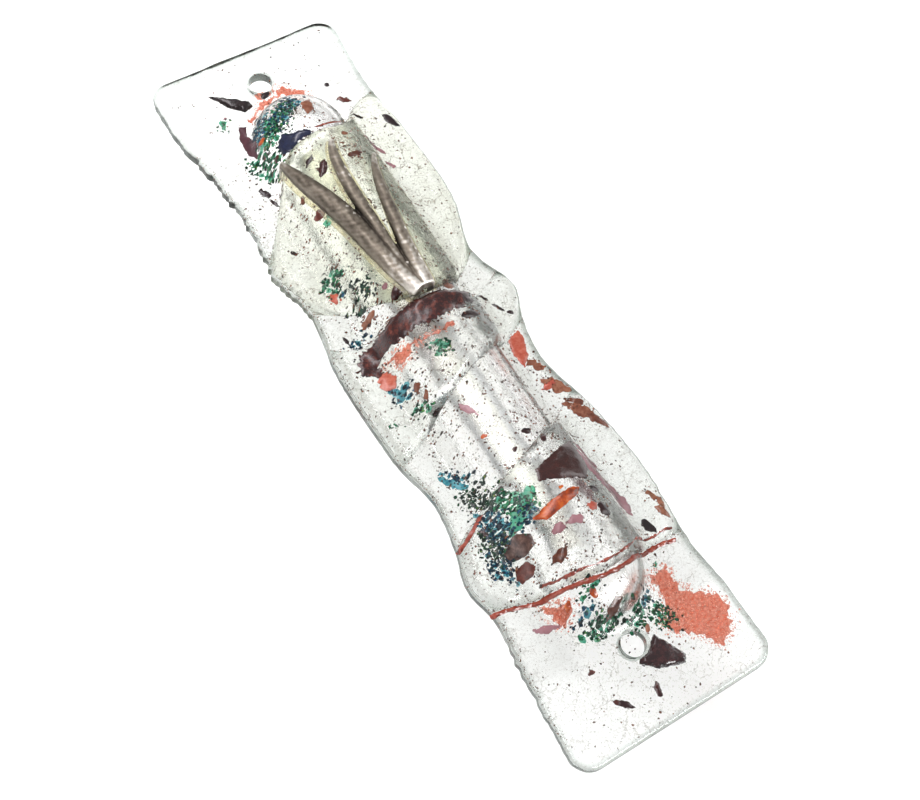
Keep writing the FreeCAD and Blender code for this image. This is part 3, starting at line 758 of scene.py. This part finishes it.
def new_tree(name):
    """An empty material and its node tree."""
    material = bpy.data.materials.new(name)
    material.use_nodes = True
    material.node_tree.nodes.clear()
    return material, material.node_tree


def feed(tree, inputs, values):
    """Gives inputs their values in order; a value that is a socket is linked."""
    for socket, value in zip(inputs, values):
        if isinstance(value, bpy.types.NodeSocket):
            tree.links.new(value, socket)
        else:
            socket.default_value = value


def add(tree, kind, **values):
    """A new node, with its settings and its inputs given by name."""
    made = tree.nodes.new("ShaderNode" + kind)
    for name, value in values.items():
        if hasattr(made, name):
            setattr(made, name, value)
        else:
            feed(tree, [made.inputs[name.replace("_", " ")]], [value])
    return made


def blend(tree, share, first, second):
    """One shader mixed with another by a share from 0 to 1."""
    made = tree.nodes.new("ShaderNodeMixShader")
    feed(tree, made.inputs, (share, first, second))
    return made.outputs["Shader"]


def maths(tree, operation, *values):
    """A sum, product and so on of numbers or sockets."""
    made = tree.nodes.new("ShaderNodeMath")
    made.operation = operation
    feed(tree, made.inputs, values)
    return made.outputs["Value"]


def plus(tree, first, second):
    return maths(tree, "ADD", first, second)


def times(tree, first, second):
    return maths(tree, "MULTIPLY", first, second)


def ramp(tree, share, stops):
    """Colours run between stops of (share, colour); a grey is given by one number."""
    made = tree.nodes.new("ShaderNodeValToRGB")
    tree.links.new(share, made.inputs["Fac"])
    elements = made.color_ramp.elements
    while len(elements) < len(stops):
        elements.new(0.5)
    for element, (at, colour) in zip(elements, stops):
        element.position = at
        element.color = (*colour, 1.0) if isinstance(colour, tuple) else (colour, colour, colour, 1.0)
    return made.outputs["Color"]


def rising(tree, share, low, high):
    """0 up to a low share and 1 from a high one on."""
    return ramp(tree, share, [(low, 0), (high, 1)])


def falling(tree, share, low, high):
    """1 up to a low share and 0 from a high one on."""
    return ramp(tree, share, [(low, 1), (high, 0)])


def tinted(tree, share, first, second, how="MIX"):
    """One colour mixed with another, or multiplied by it."""
    return add(tree, "MixRGB", blend_type=how, Fac=share, Color1=first, Color2=second).outputs["Color"]


def bumped(tree, height, strength, distance):
    """Surface direction with bumps of a height up to a distance in millimetres."""
    return add(tree, "Bump", Height=height, Strength=strength, Distance=distance * MM).outputs["Normal"]


def see_through(tree, colour):
    return add(tree, "BsdfTransparent", Color=colour).outputs["BSDF"]


def finish_with(tree, shader):
    output = tree.nodes.new("ShaderNodeOutputMaterial")
    tree.links.new(shader, output.inputs["Surface"])


def place(tree):
    return add(tree, "TexCoord").outputs["Object"]


def place_along(tree, axis):
    return add(tree, "SeparateXYZ", Vector=place(tree)).outputs[axis]


def noise_of(tree, size, detail=4.0, roughness=0.6):
    """Noise whose lumps are about one size, in millimetres."""
    made = add(tree, "TexNoise", Vector=place(tree), Scale=1 / (size * MM), Detail=detail,
               Roughness=roughness)
    return made.outputs["Fac"]


def crackle(tree):
    """Patches of fine cracks, as a share from 0 to 1."""
    bend = add(tree, "VectorMath", operation="MULTIPLY_ADD")
    wander = add(tree, "TexNoise", Vector=place(tree), Scale=1 / (1.5 * MM), Detail=3.0).outputs["Color"]
    feed(tree, bend.inputs, (wander, (2 * MM,) * 3, place(tree)))
    cracks = add(tree, "TexVoronoi", feature="DISTANCE_TO_EDGE", Vector=bend.outputs[0],
                 Scale=1 / (2.6 * MM)).outputs["Distance"]
    patch = rising(tree, noise_of(tree, 3.5, 3.0), 0.48, 0.6)
    return times(tree, falling(tree, cracks, 0.0, 0.045), patch)


def glass_ripples(tree, grain, depth, flecked, rippled):
    """Ripples, pits and grain of the surface, calm along the sheet's edge."""
    seeds = add(tree, "TexVoronoi", Vector=place(tree), Scale=1 / (0.8 * MM)).outputs["Distance"]
    height = plus(tree, noise_of(tree, 2.4, 3.0), times(tree, grain, 0.35))
    height = plus(tree, height, times(tree, falling(tree, seeds, 0.0, 0.2), flecked))
    calm = rising(tree, depth, 0.15, 0.7)
    return bumped(tree, height, times(tree, calm, rippled), 0.3)


def glass_tone(tree, depth, tint, tunnel_light_tint):
    """Tint that is palest at the plate's ends, paler over the tunnel as painted light, and darker along
    the edge as painted shade.
    """
    tone = ramp(tree, noise_of(tree, 6.0), [(0.3, tint), (0.7, tuple(0.3 + 0.7 * c for c in tint))])
    across = times(tree, maths(tree, "ABSOLUTE", place_along(tree, "X")), 1 / (HALF_WIDTH * MM))
    # Painted light: the glass is paler over the tunnel, for the light that comes through the hollow.
    tone = tinted(tree, falling(tree, across, *TUNNEL_LIGHT), tone, (*tunnel_light_tint, 1))
    along = plus(tree, times(tree, place_along(tree, "Y"), 1 / (2 * END_Y * MM)), 0.5)
    ends = ramp(tree, along, list(zip(END_TONE, (1, 0, 0, 1))))
    tone = tinted(tree, ends, tone, (0.98, 0.985, 0.98, 1))
    # Painted shade: the glass is darker towards the outline of each sheet.
    rim = ramp(tree, depth, [(0.0, (0.58, 0.61, 0.59)), (0.35, (0.84, 0.86, 0.85)), (0.8, 1)])
    return tinted(tree, 1.0, tone, rim, "MULTIPLY")


def clear_glass(name, tint, tunnel_light_tint, rough, flecked, rippled=0.3):
    """Clear fused glass with seeds, flecks and crackle."""
    material, tree = new_tree(name)
    grain = noise_of(tree, 0.4, 5.0, 0.7)
    depth = times(tree, add(tree, "Attribute", attribute_name="depth").outputs["Fac"], 0.5)
    marks = plus(tree, crackle(tree), rising(tree, grain, 0.57, 0.66))
    marks = maths(tree, "MINIMUM", times(tree, marks, flecked), 1.0)
    tone = tinted(tree, marks, glass_tone(tree, depth, tint, tunnel_light_tint), (0.26, 0.22, 0.17, 1))
    glass = add(tree, "BsdfGlass", Color=tone, Roughness=rough, IOR=1.5,
                Normal=glass_ripples(tree, grain, depth, flecked, rippled)).outputs["BSDF"]
    shadow = add(tree, "LightPath").outputs["Is Shadow Ray"]
    finish_with(tree, blend(tree, shadow, glass, see_through(tree, tone)))
    return material


def bonded_glass():
    """Where two sheets have fused there's no face left to see."""
    material, tree = new_tree("fused_joint")
    faint = ramp(tree, noise_of(tree, 6.0), [(0.0, 1), (1.0, (0.995, 1, 0.998))])
    finish_with(tree, see_through(tree, faint))
    return material


def coloured_glass(name, colour, clear, size=1.2, mottled=0.5, rough=0.12):
    """Coloured glass that differs from piece to piece and is mottled inside each."""
    material, tree = new_tree(name)
    piece = add(tree, "NewGeometry").outputs["Random Per Island"]
    mottle = rising(tree, noise_of(tree, size, 6.0, 0.7), 0.3, 0.7)
    share = plus(tree, times(tree, piece, 1 - mottled), times(tree, mottle, mottled))
    tone = ramp(tree, share, COLOURS[colour])
    bump = bumped(tree, noise_of(tree, 0.5, 5.0, 0.7), 0.4, 0.12)
    body = add(tree, "BsdfPrincipled", Base_Color=tone, Roughness=rough, IOR=1.5, Normal=bump,
               Coat_Weight=0.25, Coat_Roughness=0.1).outputs["BSDF"]
    uneven = ramp(tree, noise_of(tree, 2.0 * size), [(0.3, 0.4), (0.7, 1)])
    finish_with(tree, blend(tree, times(tree, uneven, clear), body, see_through(tree, tone)))
    return material


def pewter():
    """Tarnished cast pewter: worn bright and painted with highlights on its high edges, paler towards its
    foot, and darkened by tarnish and painted shade in its hollows.
    """
    material, tree = new_tree("pewter_tarnish_and_painted_shade")
    # Wear and painted highlight: the high edges take paler colours.
    high = rising(tree, add(tree, "NewGeometry").outputs["Pointiness"], 0.49, 0.53)
    fine = noise_of(tree, 0.4, 6.0, 0.7)
    # Tarnish and painted shade: the hollows that ambient occlusion finds are darkened.
    hollow = add(tree, "AmbientOcclusion", Distance=1.6 * MM, samples=8).outputs["AO"]
    share = plus(tree, times(tree, high, 0.5), times(tree, noise_of(tree, 3.0, 6.0, 0.65), 0.55))
    share = times(tree, share, rising(tree, hollow, 0.4, 0.92))
    # Paler towards the foot.
    above_foot = times(tree, place_along(tree, "Y"), 1 / (EMBLEM_TOP * MM))
    share = plus(tree, share, ramp(tree, above_foot, [(0.22, 0.22), (0.5, 0)]))
    colour = ramp(tree, share, [(0.12, (0.014, 0.011, 0.008)), (0.38, (0.075, 0.060, 0.046)),
                                (0.60, (0.24, 0.205, 0.165)), (0.84, (0.82, 0.78, 0.72))])
    shiny = ramp(tree, plus(tree, fine, times(tree, high, -0.3)), [(0.1, 0.35), (0.8, 0.7)])
    metal = add(tree, "BsdfPrincipled", Base_Color=colour, Metallic=0.75, Roughness=shiny,
                Normal=bumped(tree, fine, 0.35, 0.12))
    finish_with(tree, metal.outputs["BSDF"])
    return material


def glue():
    """Clear glue gone yellow, with fine bubbles."""
    material, tree = new_tree("yellowed_glue")
    colour = ramp(tree, noise_of(tree, 1.2, 6.0), [(0.3, (0.80, 0.76, 0.60)), (0.7, (0.92, 0.90, 0.82))])
    body = add(tree, "BsdfPrincipled", Base_Color=colour, Roughness=0.2,
               Normal=bumped(tree, noise_of(tree, 0.4), 0.4, 0.1))
    finish_with(tree, blend(tree, 0.85, body.outputs["BSDF"], see_through(tree, colour)))
    return material


def parchment():
    """Pale parchment with a fine fibre along its length."""
    material, tree = new_tree("parchment")
    stretched = add(tree, "Mapping", Vector=place(tree), Scale=(1.0, 0.12, 1.0)).outputs["Vector"]
    fibre = add(tree, "TexNoise", Vector=stretched, Scale=2600.0, Detail=6.0).outputs["Fac"]
    share = plus(tree, times(tree, fibre, 0.5), times(tree, noise_of(tree, 8.0), 0.5))
    colour = ramp(tree, share, [(0.3, (0.91, 0.88, 0.81)), (0.7, (0.96, 0.95, 0.91))])
    skin = add(tree, "BsdfPrincipled", Base_Color=colour, Roughness=0.65,
               Normal=bumped(tree, fibre, 0.25, 0.05))
    finish_with(tree, skin.outputs["BSDF"])
    return material


def film():
    """Clear plastic film with faint scuffs."""
    material, tree = new_tree("clear_film")
    scuff = ramp(tree, noise_of(tree, 2.0, 8.0, 0.75), [(0.45, 0.05), (0.8, 0.4)])
    shine = add(tree, "BsdfPrincipled", Base_Color=(0.95, 0.96, 0.97, 1), Roughness=scuff, IOR=1.45)
    facing = add(tree, "Fresnel", IOR=1.45).outputs["Fac"]
    share = plus(tree, facing, times(tree, scuff, 0.08))
    through = see_through(tree, (0.985, 0.99, 0.99, 1))
    finish_with(tree, blend(tree, share, through, shine.outputs["BSDF"]))
    return material


# ---- the pieces

def build_glass():
    """The plate and its three covers; the upper cover is the smokiest."""
    clear = clear_glass("clear_glass", (0.87, 0.875, 0.865), (0.985, 0.985, 0.98), 0.03, 0.35)
    seedy = clear_glass("seedy_glass", (0.84, 0.85, 0.83), (0.975, 0.975, 0.965), 0.04, 0.5, 0.4)
    smoky = clear_glass("smoky_glass", (0.78, 0.79, 0.72), (0.89, 0.90, 0.80), 0.04, 0.8, 0.5)
    joint = bonded_glass()
    plate(clear, joint)
    cover("cover_glass_bottom", seedy, joint)
    cover("cover_glass_middle", seedy, joint)
    cover("cover_glass_top", smoky, joint)


def build_dark_shards():
    """Black, oxblood, navy and purple glass; the two thick shards stand highest."""
    jet = coloured_glass("black_glass", "black", 0.05)
    maroon = coloured_glass("tunnel_shard_glass", "maroon", 0.05)
    band = coloured_glass("band_glass", "oxblood", 0.1, 1.4, 0.9, 0.2)
    navy = coloured_glass("navy_glass", "navy", 0.1)
    purple = coloured_glass("purple_glass", "purple", 0.15)
    oxblood = coloured_glass("oxblood_chip_glass", "oxblood", 0.12, 1.0, 0.4)
    shards("spike_shard", jet, 3, thick=0.8, edge=0.9)
    shards("triangle_shard", jet, 4, thick=0.8, edge=0.9)
    shards("tunnel_shard", maroon, 5, rough=0.16)
    shards("oxblood_band", band, 6, rough=0.5, dust=5.0)
    shards("navy_patch", navy, 8, rough=0.22, dust=4.0)
    shards("purple_shard", purple, 10)
    shards("black_chips", jet, 11, rough=0.13)
    shards("oxblood_chips", oxblood, 12, rough=0.15, dust=0.8)


def build_warm_shards():
    """Orange, brown, mauve and coral glass, with stains and smears of brown."""
    orange = coloured_glass("orange_glass", "orange", 0.3, 1.6, 0.9)
    umber = coloured_glass("hexagon_glass", "umber", 0.1, 1.5, 0.9)
    brown = coloured_glass("brown_glass", "brown", 0.35, 1.0, 0.5)
    mauve = coloured_glass("mauve_glass", "mauve", 0.6, 1.5, 0.5)
    coral = coloured_glass("coral_glass", "coral", 0.3, 0.8, 0.8)
    shards("orange_shard", orange, 7)
    shards("orange_chips", orange, 15)
    shards("oxblood_hexagon", umber, 9)
    shards("brown_chips", brown, 13, rough=0.15, dust=3.0, smears=BROWN_SMEARS, stains=RUST_STAINS)
    shards("mauve_streaks", mauve, 14, rough=0.2, extra=[ellipse(*MAUVE_STREAK)])
    shards("coral_chips", coral, 16, rough=0.25, dust=3.0)
    shards("coral_strip", coral, 17, rough=0.15, dust=1.5)


def build_threads():
    """Threads of red glass; the one along the lower seam is doubled by a finer strand."""
    red = coloured_glass("thread_glass", "red", 0.3, 1.2, 0.9)
    second = strand(-11.0, 19.5, COVERS["cover_glass_bottom"][0], 1.3, 0.4)
    shards("diagonal_thread", red, 20, thick=0.3, edge=0.4, rough=0.08, spacing=0.35)
    shards("emblem_thread", red, 21, thick=0.3, edge=0.4, rough=0.04, spacing=0.35)
    shards("lower_seam_thread", red, 22, thick=0.3, edge=0.4, rough=0.10, spacing=0.35, extra=[second])


def build_frit():
    """Heaps of green, blue and dark crushed glass, and specks all over the plate."""
    for seed, name in ((41, "green"), (42, "blue")):
        rng = np.random.default_rng(seed)
        grains, pools = heaps(name + "_frit", (9, 16), 0.85, (0.10, 0.55), rng, MELTED_PATCHES[name])
        laid_piece(name + "_frit", (coloured_glass(name + "_glass", name, 0.55, 0.8, 0.3), [grains]),
                   (coloured_glass(name + "_pool", "pale_" + name, 0.85, 1.0, 0.9), pools))
    rng = np.random.default_rng(43)
    grains, _ = heaps("dark_frit", (14, 22), 1.0, (0.10, 0.50), rng)
    strewn = [specks(34000, rng), seam_dirt(260, rng)]
    laid_piece("dark_frit", (coloured_glass("bottle_glass", "bottle", 0.25, 0.6, 0.3), [grains]),
               (coloured_glass("rust_glass", "rust", 0.12, 0.6, 0.3), strewn))


def build_powder():
    """Coral powder sifted on in four places."""
    dusty = coloured_glass("coral_powder_glass", "coral_dust", 0.35, 0.5, 0.6, 0.3)
    sheer = coloured_glass("coral_film_glass", "coral_dust", 1.0, 0.3, 0.9, 0.3)
    for seed, spot in ((50, "top"), (51, "low"), (52, "foot"), (53, "band")):
        powder("coral_powder_" + spot, dusty, sheer, seed)


def build_emblem():
    """The cast sign, with its edges softened and its faces slightly uneven."""
    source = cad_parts["shin_emblem"]
    cast = bpy.data.objects.new("cast_emblem", source.data.copy())
    bpy.context.scene.collection.objects.link(cast)
    cast.data.materials.clear()
    cast.data.materials.append(pewter())
    remesh = cast.modifiers.new("even", "REMESH")
    remesh.mode = "VOXEL"
    remesh.voxel_size = EMBLEM_VOXEL * MM
    soften = cast.modifiers.new("soften", "SMOOTH")
    soften.factor = 0.5
    soften.iterations = 5
    settle(cast)
    points = np.empty(3 * len(cast.data.vertices))
    cast.data.vertices.foreach_get("co", points)
    points = points.reshape(-1, 3)
    x, y, z = (points / MM).T
    points[:, 2] += MM * (waves(x + z, y, 61, 3.0, 0.035) + waves(x - z, y + z, 62, 1.1, 0.015))
    cast.data.vertices.foreach_set("co", points.ravel())
    cast.data.polygons.foreach_set("use_smooth", [True] * len(cast.data.polygons))
    cast.data.update()
    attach(cast, "case")
    stand_for("shin_emblem")


def build_rest():
    """Glue, scroll and sleeve keep their designed shapes and take their finishes."""
    for node, material in (("emblem_adhesive", glue()), ("parchment_scroll", parchment()),
                           ("scroll_sleeve", film())):
        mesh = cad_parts[node].data
        mesh.materials.clear()
        mesh.materials.append(material)


# ---- studio

def build_floor():
    """White paper that glows faintly, so that it stays white under the glass."""
    bpy.ops.mesh.primitive_plane_add(size=FLOOR_SIZE, location=(0, 0, -FLOOR_BELOW * MM))
    floor = bpy.context.object
    floor.name = "floor"
    material, tree = new_tree("white_paper")
    shade = ramp(tree, noise_of(tree, 60.0), [(0.0, 0.88), (1.0, 0.9)])
    paper = add(tree, "BsdfDiffuse", Color=shade).outputs["BSDF"]
    glow = add(tree, "Emission", Color=(1, 1, 1, 1), Strength=0.25).outputs["Emission"]
    both = tree.nodes.new("ShaderNodeAddShader")
    feed(tree, both.inputs, (paper, glow))
    finish_with(tree, both.outputs["Shader"])
    floor.data.materials.append(material)


def build_sky():
    """Pale room that darkens towards the horizon, so that edges of glass show."""
    world = bpy.data.worlds.new("room")
    bpy.context.scene.world = world
    world.use_nodes = True
    tree = world.node_tree
    tree.nodes.clear()
    direction = add(tree, "TexCoord").outputs["Generated"]
    up = add(tree, "SeparateXYZ", Vector=direction).outputs["Z"]
    colour = ramp(tree, up, [(0.0, 0.40), (0.35, (0.36, 0.365, 0.36)), (0.9, (0.52, 0.52, 0.53))])
    sky = add(tree, "Background", Color=colour, Strength=1.0)
    output = tree.nodes.new("ShaderNodeOutputWorld")
    tree.links.new(sky.outputs["Background"], output.inputs["Surface"])


def add_lamp(name, spot, size, power, unlit):
    """A lamp aimed at the middle of the case, left out of some kinds of light."""
    lamp = bpy.data.lights.new(name, "AREA")
    lamp.shape = "RECTANGLE"
    lamp.size, lamp.size_y = size
    lamp.energy = power
    body = bpy.data.objects.new(name, lamp)
    body.location = spot
    body.rotation_euler = (-Vector(spot)).to_track_quat("-Z", "Y").to_euler()
    for kind in unlit:
        setattr(body, "visible_" + kind, False)
    bpy.context.scene.collection.objects.link(body)
    return lamp


def build_lamps():
    """Three lamps for the shine on the glass, and a softer one that lights the colours."""
    not_shine = ("diffuse", "transmission")
    softbox = add_lamp("softbox", (-0.20, 0.16, 0.45), (0.9, 0.09), 2.2, not_shine)
    softbox.color = (1.0, 0.97, 0.99)
    add_lamp("low_card", (0.15, -0.50, 0.30), (0.6, 0.2), 7.0, not_shine)
    add_lamp("side_card", (0.6, -0.1, 0.35), (0.3, 0.6), 1.6, not_shine)
    add_lamp("fill", (-0.2, 0.3, 0.6), (0.5, 0.5), 7.0, ("glossy", "transmission"))


def build_camera():
    camera = bpy.data.cameras.new("camera")
    camera.sensor_width = 36.0
    camera.lens = CAMERA_LENS
    body = bpy.data.objects.new("camera", camera)
    body.location = CAMERA_AT
    body.rotation_euler = [math.radians(angle) for angle in CAMERA_TURN]
    bpy.context.scene.collection.objects.link(body)
    bpy.context.scene.camera = body


build_glass()
build_dark_shards()
build_warm_shards()
build_threads()
build_frit()
build_powder()
build_emblem()
build_rest()
build_floor()
build_sky()
build_lamps()
build_camera()

scene = bpy.context.scene
scene.view_settings.view_transform = "Standard"
scene.cycles.caustics_reflective = False
scene.cycles.caustics_refractive = True
scene.cycles.max_bounces = 24
scene.cycles.transmission_bounces = 16
scene.cycles.transparent_max_bounces = 32
